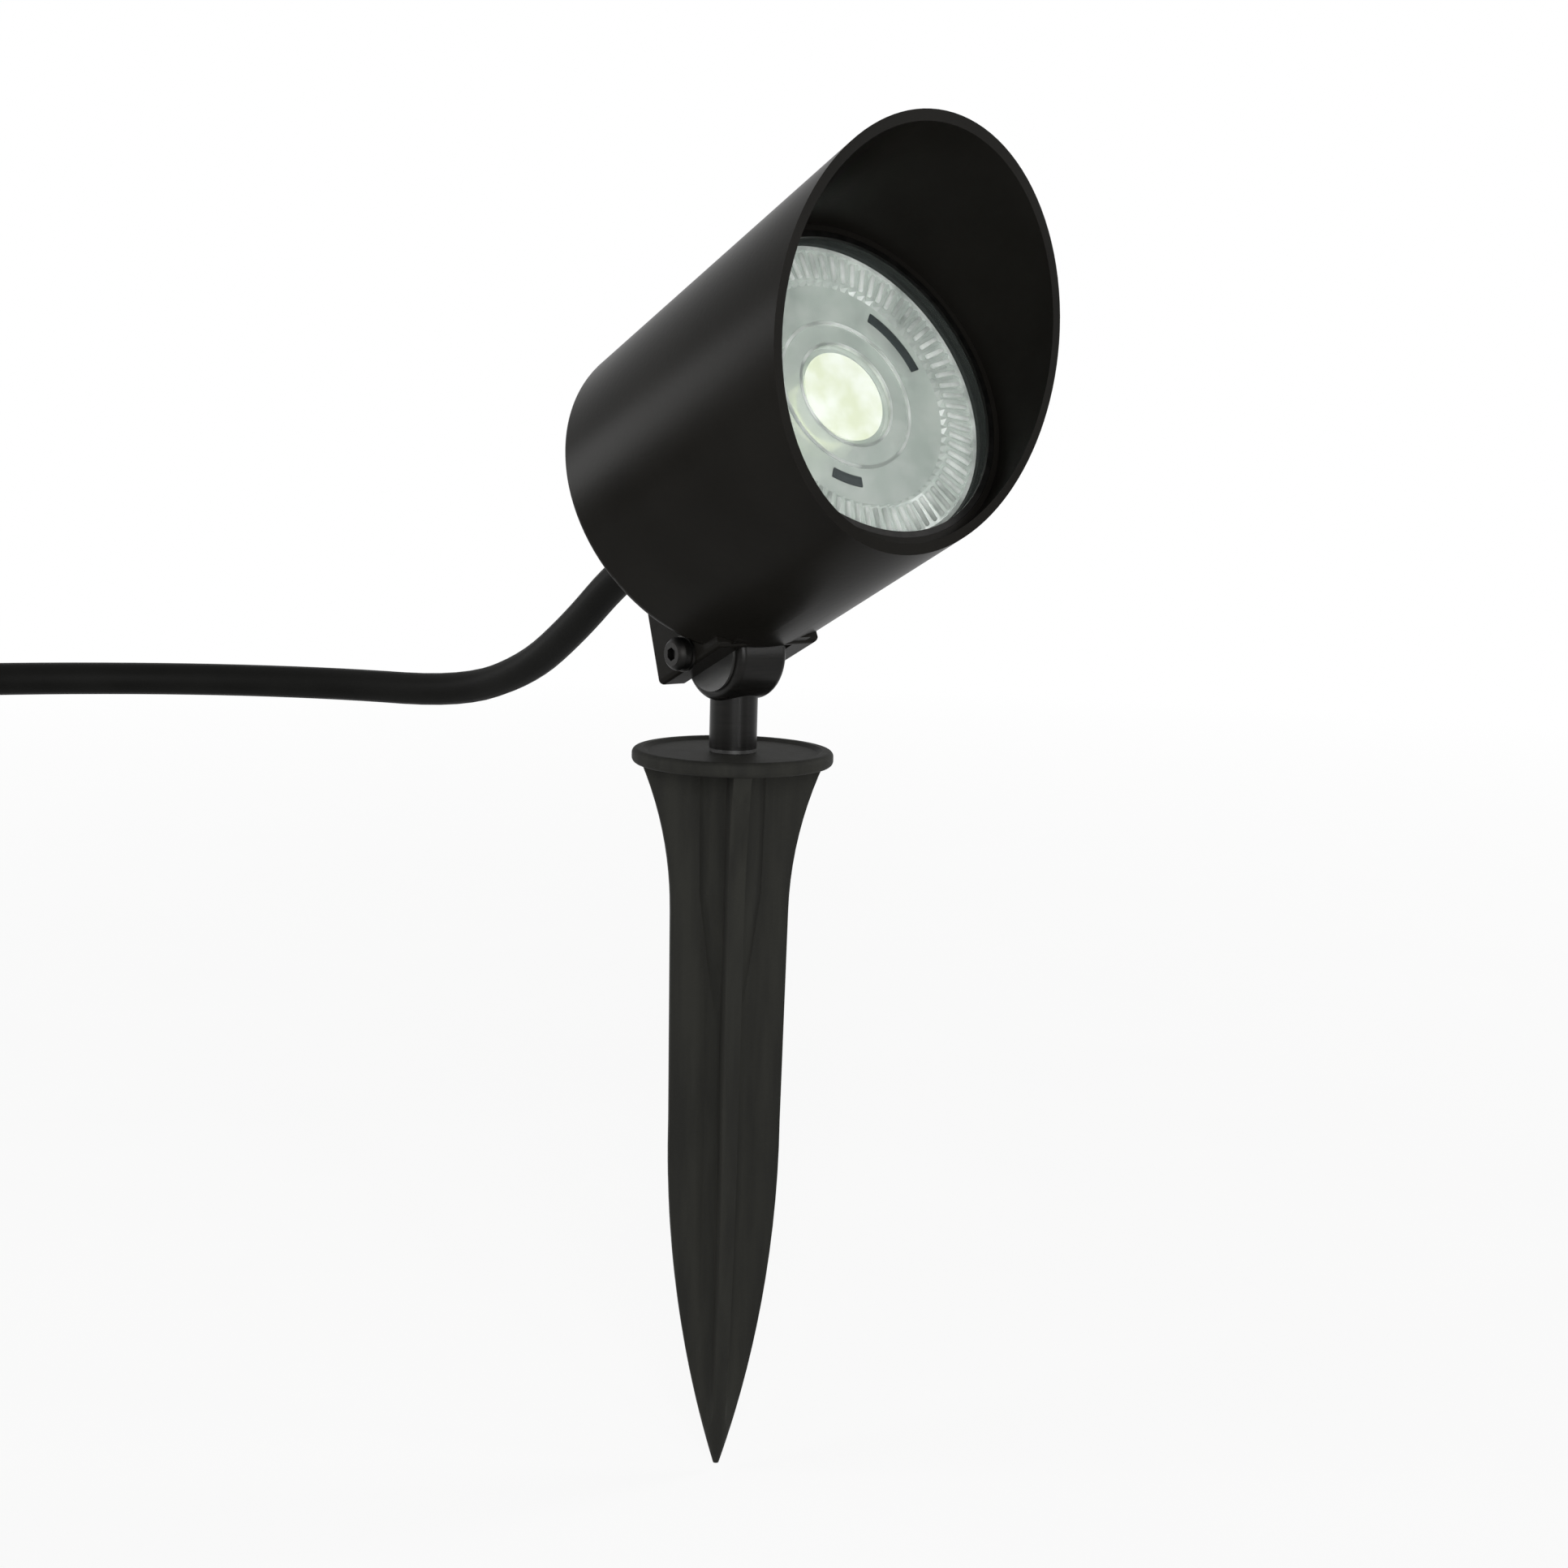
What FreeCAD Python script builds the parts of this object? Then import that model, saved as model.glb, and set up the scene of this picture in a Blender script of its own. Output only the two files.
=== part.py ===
"""Garden spike spotlight: a tilting tube head with an oblique visor and a 12 V reflector lamp, on a
short stem that turns in a cross-finned ground spike, with its supply lead.

Millimetres. The origin is on the spike's axis at ground level, which is the underside of the flange.
+Z is up, the beam points to -Y and upwards, and the tilt axis lies along X.
"""
import FreeCAD, Part
import math
import os
import re

import Sketcher

V = FreeCAD.Vector
doc = FreeCAD.newDocument("spike_spotlight")

# ---- driving dimensions -------------------------------------------------------------------------
SIZES = {
    "aim and layout": {
        "beam_elevation": 26.7,  # degrees above level, as the light is stored
        "pivot_height": 18.9,  # tilt axis above ground
        "part_gap": 0.05,  # between pieces of one assembly that fit in each other
        "running_gap": 0.3,  # between pieces that move past each other
    },
    "housing": {
        "tube_wall": 2.5,
        "visor_wall": 1.5,  # in front of the glass
        "pivot_inset": 2.5,  # tilt axis inside the tube's radius
        "seat_width": 1.7,  # step that the lamp's rim sits on
        "rim_station": 5.0,  # where the rear cone meets the tube, along the beam from the tilt axis
        "rim_round": 1.4,
        "back_station": -8.0,  # the flat back
        "back_radius": 15.5,
        "back_wall": 2.5,
        "lamp_seat": 39.8,  # step that the lamp's rim sits on
        "visor_middle": 62.3,  # station of the oblique cut on the tube's axis
        "visor_angle": 29.3,  # of the cut, from square
    },
    "lug": {
        "lug_width": 20.8,
        "lug_back": 9.4,
        "lug_lean": 2.5,  # how much nearer the tilt axis its back is at the root
        "lug_front": 9.2,
        "lug_depth": 2.3,  # below the tilt axis
        "lug_root": 12.0,  # how near the tube's axis the lug reaches
        "lug_round": 0.9,
        "pocket_wall": 2.2,  # round the knuckle's slot, inside the casting
        "slot_back_roof": 4.8,  # the slot's rear mouth, above the tilt axis
    },
    "stem": {
        "knuckle_radius": 8.1,
        "knuckle_width": 9.8,
        "knuckle_round": 1.2,
        "stem_radius": 4.0,
        "spigot_radius": 3.0,
        "spigot_length": 20.0,
        "spigot_gap": 0.06,
        "thrust_thickness": 0.6,
        "thrust_radius": 3.9,
        "ring_section": 0.9,  # the friction ring's cord
        "ring_depth": 5.0,
        "snap_depth": 16.0,
        "snap_width": 1.0,
        "snap_inner": 2.4,
        "snap_outer": 3.6,
    },
    "spike": {
        "flange_radius": 16.9,
        "flange_thickness": 2.5,
        "flange_lip": 0.9,  # radius of the flange's rounded edge
        "dish_depth": 0.5,  # the flange's top is slightly dished
        "fin_top": 15.3,  # fin radius where it meets the flange
        "fin_waist": 10.05,
        "waist_depth": 25.0,
        "fin_shoulder": 9.6,
        "shoulder_depth": 62.0,
        "flare_radius": 65.6,
        "ogive_radius": 206.0,
        "spike_length": 124.5,
        "tip_radius": 0.5,
        "fin_thickness": 3.0,
        "fin_root_round": 2.0,
        "fin_draft": 0.2,  # degrees
        "fin_turn": 14.0,  # degrees, the near fin from the -Y, -X diagonal
        "boss_radius": 5.8,
        "boss_depth": 22.0,
        "boss_fade": 46.0,
        "core_radius": 2.4,
    },
    "pivot": {
        "bolt_radius": 1.5,
        "bolt_gap": 0.05,
        "bolt_head_radius": 2.75,
        "bolt_head_height": 1.65,
        "bolt_socket": 2.0,  # across flats
        "bolt_socket_depth": 1.0,
        "nut_radius": 2.0,  # a round threaded insert in the far cheek
        "nut_length": 3.0,
        "washer_radius": 3.0,
        "washer_thickness": 0.5,
        "spring_radius": 2.7,  # the spring washer under the head
        "spring_thickness": 0.6,
        "friction_radius": 6.5,
        "friction_thickness": 0.5,
    },
    "lamp": {
        "lamp_radius": 25.0,
        "lamp_clearance": 0.9,  # round the lamp, for its seal
        "rear_clearance": 0.4,
        "lens_rim": 3.4,
        "prism_band": 6.0,  # width of the band of prisms at the lens's rim
        "lens_dish": 0.7,
        "lens_well": 6.0,
        "lens_well_depth": 1.9,
        "cup_lip": 1.2,
        "cup_depth": 8.0,  # of the recess that holds the board, below the lens
        "cup_base_radius": 9.5,
        "cup_base": 6.4,  # station of the lamp's base
        "cup_foot": 2.0,
        "cup_bulge": 60.0,
        "board_margin": 5.0,  # board and recess inside the lamp's edge
        "board_thickness": 1.2,
        "chip_radius": 5.5,
        "chip_height": 0.8,
        "pin_radius": 0.75,
        "pin_spacing": 5.33,
        "pin_length": 7.0,
        "holder_radius": 8.6,
        "holder_length": 9.2,
        "glass_thickness": 2.0,
        "glass_stand": 0.2,  # glass in front of the lamp's face
        "seal_wall": 0.75,
        "keeper_depth": 0.6,
        "keeper_width": 1.0,
    },
    "gland": {
        "gland_drop": 1.5,  # below the tube's axis
        "gland_thread": 5.5,
        "gland_flats": 12.4,
        "gland_flange": 3.0,
        "gland_nose": 5.2,
        "gland_nose_length": 4.0,
        "gland_nut_radius": 6.6,
        "gland_nut_flute": 0.5,
        "gland_nut_length": 6.0,
        "gland_lip": 1.4,
        "gland_seal_length": 3.0,
    },
    "lead": {
        "cord_radius": 3.1,
        "core_wire_radius": 0.9,
        "core_wire_spacing": 2.6,
        "coil_centre_x": -131.5,
        "coil_centre_y": 101.0,
        "coil_radius": 38.4,  # where the cord comes onto the coil
        "coil_pitch": 6.7,
        "coil_layer": 6.7,
        "tail_length": 31.0,
        "tie_width": 9.0,
        "tie_thickness": 0.7,
        "tie_gap": 0.2,
    },
    "connector": {
        "grommet_length": 13.0,
        "grommet_mouth": 4.6,
        "grommet_radius": 6.4,
        "back_nut_radius": 8.8,
        "back_nut_length": 8.0,
        "grip_radius": 9.5,
        "grip_length": 9.0,
        "grip_flute": 0.7,
        "grip_count": 12,
        "nose_radius": 7.3,
        "nose_length": 10.0,
        "nose_bore": 6.0,
        "insert_recess": 7.5,
        "insert_length": 9.0,
        "contact_radius": 0.9,
        "contact_spacing": 4.8,
        "contact_length": 6.0,
    },
}

# Sizes that follow from the others.
FOLLOWING = {
    "tube_radius": "lamp_radius + lamp_clearance + tube_wall",
    "axis_offset": "tube_radius - pivot_inset",  # tube axis above the tilt axis, square to the beam
    "board_radius": "lamp_radius - board_margin",
    "rear_bore": "lamp_radius + lamp_clearance - seat_width",
}

sheet = doc.addObject("Spreadsheet::Sheet", "Sizes")
row = 1
for group, members in SIZES.items():
    sheet.set(f"A{row}", group)
    row += 1
    for alias, number in members.items():
        sheet.set(f"A{row}", alias)
        sheet.set(f"B{row}", str(number))
        sheet.setAlias(f"B{row}", alias)
        row += 1
doc.recompute()
for alias, formula in FOLLOWING.items():
    sheet.set(f"A{row}", alias)
    sheet.set(f"B{row}", f"={formula}")
    sheet.setAlias(f"B{row}", alias)
    row += 1
    doc.recompute()
ALIASES = {alias for members in SIZES.values() for alias in members} | set(FOLLOWING)


def bound(expression):
    """The expression with each size named as a cell of the sheet."""
    return re.sub(r"[a-z][a-z0-9_]*", lambda m: "Sizes." * (m.group() in ALIASES) + m.group(), expression)


def value(expression):
    """What an expression of sizes comes to, as a number."""
    result = sheet.evalExpression(expression)
    return float(getattr(result, "Value", result))


# ---- frames -------------------------------------------------------------------------------------
def beam_frame(piece, rise="axis_offset"):
    """Z along the beam from the tilt axis, Y up square to it, on a line `rise` above the tilt axis."""
    piece.Placement = FreeCAD.Placement(V(0, 0, 1), FreeCAD.Rotation(V(1, 0, 0), 60))
    piece.setExpression("Placement.Base.y", bound(f"({rise}) * sin(beam_elevation)"))
    piece.setExpression("Placement.Base.z", bound(f"pivot_height + ({rise}) * cos(beam_elevation)"))
    piece.setExpression("Placement.Rotation.Angle", bound("90 - beam_elevation"))
    return piece


def tilt_frame(piece):
    """Z along the tilt axis, from its middle towards +X."""
    piece.Placement = FreeCAD.Placement(V(0, 0, 1), FreeCAD.Rotation(V(0, 1, 0), 90))
    piece.setExpression("Placement.Base.z", bound("pivot_height"))
    return piece


def connector_frame(piece):
    """Z out of the connector, towards -Y, from where the cord's tail ends."""
    piece.Placement = FreeCAD.Placement(V(0, 0, 1), FreeCAD.Rotation(V(1, 0, 0), 90))
    piece.setExpression("Placement.Base.x", bound("coil_centre_x - coil_radius + coil_pitch / 4"))
    piece.setExpression("Placement.Base.y", bound("coil_centre_y - tail_length"))
    piece.setExpression("Placement.Base.z", bound(f"{COIL_HEIGHT} + coil_layer"))
    return piece


COIL_HEIGHT = "cord_radius + tie_thickness + tie_gap"  # the lower layer's centreline, over its tie


# ---- modelling helpers --------------------------------------------------------------------------
def body(label, frame=None):
    made = doc.addObject("PartDesign::Body", label)
    made.Label = label
    return frame(made) if frame else made


def arc_middle(start, end, radius, side):
    """A point halfway round the arc that bulges to the left (1) or the right (-1) of its chord."""
    chord = end - start
    left = V(-chord.y, chord.x, 0).normalize()
    half = chord.Length / 2
    bulge = radius - math.sqrt(max(radius * radius - half * half, 0))
    return (start + end) * 0.5 + left * (bulge * side)


def draw(sketch, corners):
    """A closed outline. A corner is (x, y), or (x, y, radius, side) where an arc arrives there."""
    points = [V(value(c[0]), value(c[1]), 0) for c in corners]
    edges = []
    for i, corner in enumerate(corners):
        start, end = points[i - 1], points[i]
        if len(corner) == 2:
            curve = Part.LineSegment(start, end)
        else:
            curve = Part.Arc(start, arc_middle(start, end, value(corner[2]), corner[3]), end)
        edges.append(sketch.addGeometry(curve, False))
    ends = []
    for i, edge in enumerate(edges):
        straight = (sketch.getPoint(edge, 2) - points[i]).Length < (sketch.getPoint(edge, 1) - points[i]).Length
        ends.append((1, 2) if straight else (2, 1))
    rules, bindings = [], []
    for i, corner in enumerate(corners):
        after = (i + 1) % len(corners)
        rules.append(Sketcher.Constraint("Coincident", edges[i], ends[i][1], edges[after], ends[after][0]))
        for kind, place, k in (("DistanceX", points[i].x, 0), ("DistanceY", points[i].y, 1)):
            bindings.append((len(rules), corner[k]))
            rules.append(Sketcher.Constraint(kind, -1, 1, edges[i], ends[i][1], place))
        if len(corner) == 4:
            bindings.append((len(rules), corner[2]))
            rules.append(Sketcher.Constraint("Radius", edges[i], value(corner[2])))
    first = sketch.ConstraintCount
    sketch.addConstraint(rules)
    for k, expression in bindings:
        if re.search("[a-z]", expression):
            sketch.setExpression(f"Constraints[{first + k}]", bound(expression))


def draw_circle(sketch, x, y, radius):
    circle = Part.Circle(V(value(x), value(y), 0), V(0, 0, 1), value(radius))
    edge = sketch.addGeometry(circle, False)
    first = sketch.ConstraintCount
    sketch.addConstraint([
        Sketcher.Constraint("DistanceX", -1, 1, edge, 3, value(x)),
        Sketcher.Constraint("DistanceY", -1, 1, edge, 3, value(y)),
        Sketcher.Constraint("Radius", edge, value(radius)),
    ])
    for k, expression in enumerate((x, y, radius)):
        if re.search("[a-z]", expression):
            sketch.setExpression(f"Constraints[{first + k}]", bound(expression))


def sketch_on(owner, plane, name, outlines=(), circles=(), lift=None):
    """A sketch on one of the body's own origin planes, lifted off it by an expression."""
    made = owner.newObject("Sketcher::SketchObject", f"{owner.Label}_{name}")
    support = [f for f in owner.Origin.OriginFeatures if f.Role == plane][0]
    made.AttachmentSupport = [(support, "")]
    made.MapMode = "FlatFace"
    if lift:
        made.setExpression("AttachmentOffset.Base.z", bound(lift))
    for corners in outlines:
        draw(made, corners)
    for circle in circles:
        draw_circle(made, *circle)
    return made


def turned(owner, name, corners, kind="Revolution"):
    """A profile of (radius, height) corners turned about the body's Z axis."""
    profile = sketch_on(owner, "XZ_Plane", name + "_profile", [corners])
    made = owner.newObject("PartDesign::" + kind, f"{owner.Label}_{name}")
    made.Profile = profile
    made.ReferenceAxis = (profile, ["V_Axis"])
    made.Angle = 360
    return made


def extruded(owner, name, profile, length, kind="Pad", symmetric=False, reverse=False, draft=None):
    made = owner.newObject("PartDesign::" + kind, f"{owner.Label}_{name}")
    made.Profile = profile
    made.setExpression("Length", bound(length))
    if symmetric:
        made.SideType = "Symmetric"
    made.Reversed = reverse
    if draft:
        made.setExpression("TaperAngle", bound(draft))
    return made


def round_edges(owner, name, radius, chosen):
    """A fillet on the edges of the body's present shape whose middle point and edge pass `chosen`."""
    doc.recompute()
    base = owner.Tip
    names = [f"Edge{i + 1}" for i, e in enumerate(base.Shape.Edges) if chosen(local_middle(e), e)]
    if not names:
        raise RuntimeError(f"{owner.Label}: no edge to round for {name}")
    made = owner.newObject("PartDesign::Fillet", f"{owner.Label}_{name}")
    made.Base = (base, names)
    made.setExpression("Radius", bound(radius))
    return made


def local_middle(edge):
    low, high = edge.ParameterRange
    return edge.valueAt((low + high) / 2)


def around(owner, feature, count):
    """The feature repeated round the body's Z axis."""
    pattern = owner.newObject("PartDesign::PolarPattern", f"{feature.Name}_ring")
    pattern.Originals = [feature]
    pattern.Axis = ([f for f in owner.Origin.OriginFeatures if f.Role == "Z_Axis"][0], [""])
    pattern.Angle = 360
    pattern.Occurrences = int(value(count))
    owner.Tip = pattern
    return pattern


def ring(label, frame, inner, outer, low, high):
    """A plain ring or disc about the frame's Z axis."""
    made = body(label, frame)
    turned(made, "ring", [(inner, low), (outer, low), (outer, high), (inner, high)])
    return made


def hexagon(flats):
    corner = f"({flats}) / sqrt(3)"
    return [(f"{corner} * cos({60 * k})", f"{corner} * sin({60 * k})") for k in range(6)]


def rods(label, frame, spacing, radius, low, high):
    """Two round rods side by side along the frame's Z axis, as one node."""
    pair = []
    for sign in (-1, 1):
        rod = doc.addObject("Part::Cylinder", f"{label}_{'left' if sign < 0 else 'right'}")
        rod.setExpression("Radius", bound(radius))
        rod.setExpression("Height", bound(f"({high}) - ({low})"))
        rod.setExpression("Placement.Base.x", bound(f"{sign} * ({spacing}) / 2"))
        rod.setExpression("Placement.Base.z", bound(low))
        pair.append(rod)
    made = doc.addObject("Part::Compound", label)
    made.Label = label
    made.Links = pair
    return frame(made)


# ---- ground spike -------------------------------------------------------------------------------
def make_spike():
    """Moulded spike: a dished flange on four drafted fins with a flared top and an ogive point."""
    spike = body("spike")
    spike.Placement = FreeCAD.Placement(V(0, 0, 0), FreeCAD.Rotation(V(0, 0, 1), 45))
    spike.setExpression("Placement.Rotation.Angle", bound("45 + fin_turn"))
    turned(spike, "envelope", [
        ("0", "flange_thickness - dish_depth"),
        ("flange_radius - 3 * flange_lip", "flange_thickness - dish_depth"),
        ("flange_radius - 2 * flange_lip", "flange_thickness"),
        ("flange_radius - flange_lip", "flange_thickness"),
        ("flange_radius", "flange_thickness - flange_lip", "flange_lip", 1),
        ("flange_radius", "flange_lip"),
        ("flange_radius - flange_lip", "0", "flange_lip", 1),
        ("fin_top", "0"),
        ("fin_waist", "-waist_depth", "flare_radius", -1),
        ("fin_shoulder", "-shoulder_depth"),
        ("tip_radius", "-spike_length", "ogive_radius", 1),
        ("0", "-spike_length"),
    ])
    web = "fin_thickness / 2"
    far = "flange_radius * 1.5"
    corner = f"({web} + fin_root_round)"
    channel = sketch_on(spike, "XY_Plane", "channel_outline", [[
        (web, far), (web, corner), (corner, web, "fin_root_round", -1), (far, web), (far, far),
    ]])
    cut = extruded(spike, "channel", channel, "spike_length + 1", "Pocket", draft="fin_draft")
    around(spike, cut, "4")
    turned(spike, "boss", [
        ("0", "flange_lip"), ("boss_radius", "flange_lip"), ("boss_radius - 0.4", "-boss_depth"),
        ("core_radius", "-boss_fade"), ("0", "-boss_fade"),
    ])
    bore = "spigot_radius + spigot_gap"
    turned(spike, "socket", [
        ("0", "flange_thickness + 1"), (bore, "flange_thickness + 1"), (bore, "-spigot_length - 0.5"),
        ("0", "-spigot_length - 0.5"),
    ], "Groove")
    groove = "snap_outer + spigot_gap"
    turned(spike, "snap_groove", [
        ("spigot_radius", "-snap_depth + 0.1"), (groove, "-snap_depth + 0.1"),
        (groove, "-snap_depth - snap_width - 0.1"), ("spigot_radius", "-snap_depth - snap_width - 0.1"),
    ], "Groove")
    return spike


# ---- stem ---------------------------------------------------------------------------------------
STEM_FOOT = "flange_thickness - dish_depth + thrust_thickness + 2 * part_gap"  # the stem's shoulder


def make_stem():
    """Turned stem: a spigot in the spike, a shoulder, and a round knuckle across the tilt axis."""
    stem = body("stem")
    ring_root = "spigot_radius - ring_section"
    turned(stem, "shaft", [
        ("0", "-spigot_length"), ("spigot_radius - 0.5", "-spigot_length"),
        ("spigot_radius", "0.5 - spigot_length"), ("spigot_radius", "-snap_depth - snap_width"),
        ("snap_inner - part_gap", "-snap_depth - snap_width"), ("snap_inner - part_gap", "-snap_depth"),
        ("spigot_radius", "-snap_depth"), ("spigot_radius", "-ring_depth - ring_section / 2 - part_gap"),
        (ring_root, "-ring_depth - ring_section / 2 - part_gap"),
        (ring_root, "-ring_depth + ring_section / 2 + part_gap"),
        ("spigot_radius", "-ring_depth + ring_section / 2 + part_gap"), ("spigot_radius", STEM_FOOT),
        ("stem_radius", STEM_FOOT), ("stem_radius", "pivot_height - knuckle_radius / 2"),
        ("0", "pivot_height - knuckle_radius / 2"),
    ])
    half, edge = "knuckle_width / 2", "knuckle_round"
    knuckle = sketch_on(stem, "XZ_Plane", "knuckle_profile", [[
        (f"-{half}", "0"), (f"-{half}", f"knuckle_radius - {edge}"),
        (f"-{half} + {edge}", "knuckle_radius", edge, 1), (f"{half} - {edge}", "knuckle_radius"),
        (half, f"knuckle_radius - {edge}", edge, 1), (half, "0"),
    ]])
    knuckle.setExpression("AttachmentOffset.Base.y", bound("pivot_height"))
    disc = stem.newObject("PartDesign::Revolution", "stem_knuckle")
    disc.Profile = knuckle
    disc.ReferenceAxis = (knuckle, ["H_Axis"])
    disc.Angle = 360
    hole = sketch_on(stem, "YZ_Plane", "bore_outline", circles=[("0", "pivot_height", "bolt_radius + bolt_gap")])
    extruded(stem, "bore", hole, "knuckle_width * 2", "Pocket", symmetric=True)
    return stem


def make_stem_fittings():
    thrust = "flange_thickness - dish_depth + part_gap"
    ring("thrust_washer", None, "spigot_radius + spigot_gap + part_gap", "thrust_radius", thrust,
         thrust + " + thrust_thickness")
    friction = doc.addObject("Part::Torus", "stem_friction_ring")
    friction.Label = "stem_friction_ring"
    friction.setExpression("Radius1", bound("spigot_radius - ring_section / 2"))
    friction.setExpression("Radius2", bound("ring_section / 2 - part_gap / 2"))
    friction.setExpression("Placement.Base.z", bound("-ring_depth"))
    ring("stem_snap_ring", None, "snap_inner", "snap_outer", "-snap_depth - snap_width + part_gap",
         "-snap_depth - part_gap")


# ---- head casting -------------------------------------------------------------------------------
SLOT_HALF = "(knuckle_width / 2 + friction_thickness + 2 * part_gap)"


def make_housing():
    """Cast tube with a coned back, an oblique visor, and a lug whose pocket takes the knuckle."""
    housing = body("housing", beam_frame)
    front = "visor_middle + tube_radius * 1.2"
    foot = "-(axis_offset + lug_depth)"
    side = sketch_on(housing, "YZ_Plane", "lug_outline", [[
        (foot, "-lug_back"), (foot, "lug_front"), ("-lug_root", "lug_front"),
        ("-lug_root", "lug_lean - lug_back"),
    ]])
    extruded(housing, "lug", side, "lug_width", symmetric=True)
    bottom = value(foot)
    round_edges(housing, "lug_edges", "lug_round", lambda p, e: p.z < 0 or abs(p.y - bottom) < 0.01)
    cone = "atan((tube_radius - back_radius) / (rim_station - back_station))"
    run = f"rim_round * tan({cone} / 2)"  # from the rim's corner to where its rounding starts
    turned(housing, "outside", [
        ("0", "back_station"), ("back_radius", "back_station"),
        (f"tube_radius - {run} * sin({cone})", f"rim_station - {run} * cos({cone})"),
        ("tube_radius", f"rim_station + {run}", "rim_round", -1), ("tube_radius", front), ("0", front),
    ])
    inner_back = "back_station + back_wall"
    visor_foot = f"{GLASS_FRONT} + keeper_depth + part_gap"
    turned(housing, "cavity", [
        ("0", inner_back), ("back_radius - back_wall", inner_back),
        ("rear_bore", "rim_station + 1"), ("rear_bore", "lamp_seat"),
        ("tube_radius - tube_wall", "lamp_seat"), ("tube_radius - tube_wall", visor_foot),
        ("tube_radius - visor_wall", visor_foot), ("tube_radius - visor_wall", front + " + 1"),
        ("0", front + " + 1"),
    ], "Groove")
    slot_radius = "(knuckle_radius + running_gap)"
    roof = f"-axis_offset + {slot_radius} + pocket_wall"
    pocket = sketch_on(housing, "YZ_Plane", "pocket_outline", [[
        ("0.5 - tube_radius", "back_station + 0.5"), ("0.5 - tube_radius", f"{slot_radius} + pocket_wall"),
        (roof, f"{slot_radius} + pocket_wall"), (roof, "back_station + 0.5"),
    ]])
    extruded(housing, "pocket", pocket, f"2 * ({SLOT_HALF} + pocket_wall)", symmetric=True)
    rear, below = "-lug_back - knuckle_radius", "-axis_offset - knuckle_radius * 2"
    mouth = "-axis_offset + slot_back_roof"
    slot = sketch_on(housing, "YZ_Plane", "slot_outline", [[
        (mouth, rear), (mouth, f"-sqrt({slot_radius} ^ 2 - slot_back_roof ^ 2)"),
        ("-axis_offset", slot_radius, slot_radius, -1),
        ("-axis_offset - lug_depth", f"sqrt({slot_radius} ^ 2 - lug_depth ^ 2)", slot_radius, -1),
        (below, f"sqrt({slot_radius} ^ 2 - lug_depth ^ 2)"), (below, rear),
    ]])
    extruded(housing, "slot", slot, f"2 * {SLOT_HALF}", "Pocket", symmetric=True)
    bore = sketch_on(housing, "YZ_Plane", "bolt_outline", lift="-lug_width / 2",
                     circles=[("-axis_offset", "0", "bolt_radius + bolt_gap")])
    extruded(housing, "bolt_bore", bore, f"lug_width / 2 + {SLOT_HALF} + nut_length + 0.5", "Pocket", reverse=True)
    seat = sketch_on(housing, "YZ_Plane", "nut_outline", lift=SLOT_HALF,
                     circles=[("-axis_offset", "0", "nut_radius + part_gap")])
    extruded(housing, "nut_seat", seat, "nut_length + part_gap", "Pocket", reverse=True)
    high, low = "tube_radius * 1.2", "-tube_radius * 1.2"
    cut = sketch_on(housing, "YZ_Plane", "visor_outline", [[
        (low, f"visor_middle + ({low}) * tan(visor_angle)"),
        (high, f"visor_middle + {high} * tan(visor_angle)"), (high, front + " + 5"), (low, front + " + 5"),
    ]])
    extruded(housing, "visor", cut, "tube_radius * 2.2", "Pocket", symmetric=True)
    entry = sketch_on(housing, "XY_Plane", "gland_outline", lift=inner_back + " + 0.5",
                      circles=[("0", "-gland_drop", "gland_thread + part_gap")])
    extruded(housing, "gland_hole", entry, "back_wall + 2", "Pocket")
    return housing


# ---- lamp and front ------------------------------------------------------------------------------
LAMP_FACE = "(lamp_seat + cup_lip + lens_rim)"
GLASS_BACK = f"({LAMP_FACE} + glass_stand)"
GLASS_FRONT = f"({GLASS_BACK} + glass_thickness)"
BORE = "(tube_radius - tube_wall - part_gap)"


def make_front():
    """The toughened glass, the rubber seal round the lamp's rim and the ring that keeps them in."""
    glass = body("front_glass", beam_frame)
    turned(glass, "disc", [
        ("0", GLASS_BACK), (BORE, GLASS_BACK), (BORE, f"{GLASS_FRONT} - 0.3"),
        (f"{BORE} - 0.3", GLASS_FRONT), ("0", GLASS_FRONT),
    ])
    ring("lamp_seal", beam_frame, f"{BORE} - seal_wall", BORE, "lamp_seat + part_gap", GLASS_BACK)
    ring("glass_keeper", beam_frame, f"{BORE} - keeper_width", BORE, GLASS_FRONT,
         f"{GLASS_FRONT} + keeper_depth")


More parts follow.
